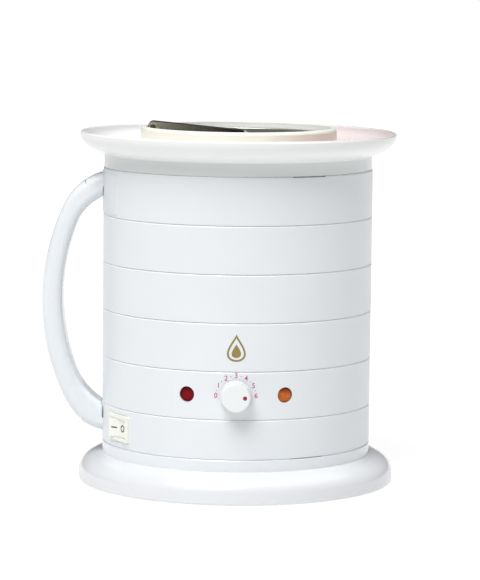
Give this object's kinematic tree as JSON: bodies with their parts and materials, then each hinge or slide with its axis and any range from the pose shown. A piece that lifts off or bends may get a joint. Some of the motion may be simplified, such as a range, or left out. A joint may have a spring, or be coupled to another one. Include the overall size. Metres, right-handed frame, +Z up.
{
  "type": "wax warmer pot",
  "caption": "Round salon wax warmer with a mug handle, a wide drip dish, a lift-out container with a folding handle, a heat knob, pilot lamps and a rocker switch.",
  "frame": {"origin": "on the barrel's axis, in the plane that the foot ring stands on", "axes": "+Z up along the barrel's axis, the knob faces -Y, the mug handle is on -X"},
  "size_m": [0.1966, 0.176, 0.2009],
  "materials": {
    "white_shell": "satin gloss moulding",
    "dish_white": "gloss moulding",
    "knob_white": "gloss moulding",
    "pointer_red": "printed inlay",
    "ring_cream": "heat resistant moulding",
    "switch_ivory": "gloss moulding",
    "pot_aluminium": "drawn, satin",
    "channel_steel": "dark polished",
    "bright_steel": "polished",
    "zinc_screw": "zinc plated",
    "brass_parts": "bright",
    "red_lens": "clear tinted",
    "amber_lens": "clear tinted",
    "lamp_body": "moulded nylon",
    "bulb_glass": "clear",
    "black_moulding": "moulded",
    "grey_plate": "moulded",
    "foot_rubber": "moulded",
    "mica_band": "mica with steel skin",
    "mineral_wool": "needled felt",
    "cutout_metal": "plain",
    "copper_bulb": "drawn"
  },
  "bodies": {
    "housing": {"amber_lamp_holder": "lamp_body", "amber_lens": "amber_lens", "base_plate": "grey_plate", "base_screws": "zinc_screw", "base_skirt": "white_shell", "body_shell": "white_shell", "clamp_screw": "bright_steel", "cord_gland": "black_moulding", "drip_dish": "dish_white", "foot_ring": "foot_rubber", "gland_nut": "black_moulding", "handle_grip": "white_shell", "handle_lower_bracket": "white_shell", "handle_screws": "zinc_screw", "handle_upper_bracket": "white_shell", "heat_shield": "bright_steel", "heater_band": "mica_band", "heater_clamp": "bright_steel", "heating_well": "pot_aluminium", "inner_ring": "ring_cream", "insulation_sleeve": "mineral_wool", "neon_bulbs": "bulb_glass", "red_lamp_holder": "lamp_body", "red_lens": "red_lens", "sensor_bulb": "copper_bulb", "switch_housing": "switch_ivory", "switch_terminals": "brass_parts", "terminal_block": "lamp_body", "terminal_screws": "brass_parts", "thermal_cutout": "cutout_metal", "thermostat": "black_moulding", "thermostat_nut": "brass_parts"},
    "knob": {"control_knob": "knob_white", "pointer_dot": "pointer_red", "thermostat_spindle": "bright_steel"},
    "rocker": {"switch_rocker": "switch_ivory"},
    "container": {"wax_container": "pot_aluminium", "hinge_bracket": "bright_steel", "bracket_rivets": "bright_steel", "hinge_pin": "bright_steel"},
    "container_handle": {"folding_handle": "channel_steel"}
  },
  "joints": [
    {"name": "knob_turn", "type": "hinge", "parent": "housing", "child": "knob", "pos_m": [0, -0.0755, 0.058], "axis": [0, -1, 0], "range_deg": [0, 180]},
    {"name": "rocker_tip", "type": "hinge", "parent": "housing", "child": "rocker", "pos_m": [-0.06166, -0.03705, 0.03405], "axis": [0, 0, -1], "range_deg": [0, 20]},
    {"name": "container_lift", "type": "slide", "parent": "housing", "child": "container", "axis": [0, 0, 1], "range_m": [0, 0.12]},
    {"name": "handle_fold", "type": "hinge", "parent": "container", "child": "container_handle", "pos_m": [-0.0476, 0, 0.198], "axis": [0, -1, 0], "range_deg": [0, 120]}
  ]
}
